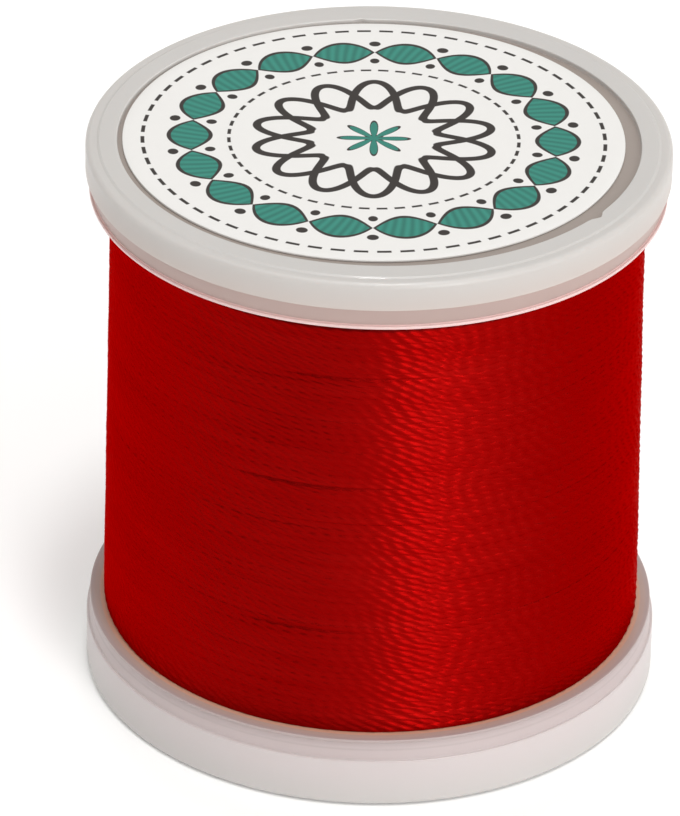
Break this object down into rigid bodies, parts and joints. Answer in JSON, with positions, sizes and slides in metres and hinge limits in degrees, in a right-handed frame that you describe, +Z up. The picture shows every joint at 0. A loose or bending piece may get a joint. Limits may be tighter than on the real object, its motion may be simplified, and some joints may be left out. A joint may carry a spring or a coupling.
{
  "type": "spool of machine embroidery thread",
  "caption": "Small white moulded spool with flanged ends, closely wound with lustrous red embroidery thread, a round paper label set in its top face.",
  "frame": {"origin": "centre of the underside, on the surface that the spool stands on", "axes": "+Z up along the spool's axis, towards the label; -Y towards the front of the picture, +X to its right"},
  "size_m": [0.033, 0.033, 0.034],
  "materials": {
    "moulded_plastic": "satin",
    "red_thread": "silky",
    "label_paper": "matte"
  },
  "bodies": {
    "root": {"spool": "moulded_plastic", "thread_winding": "red_thread", "top_label": "label_paper"}
  },
  "joints": []
}
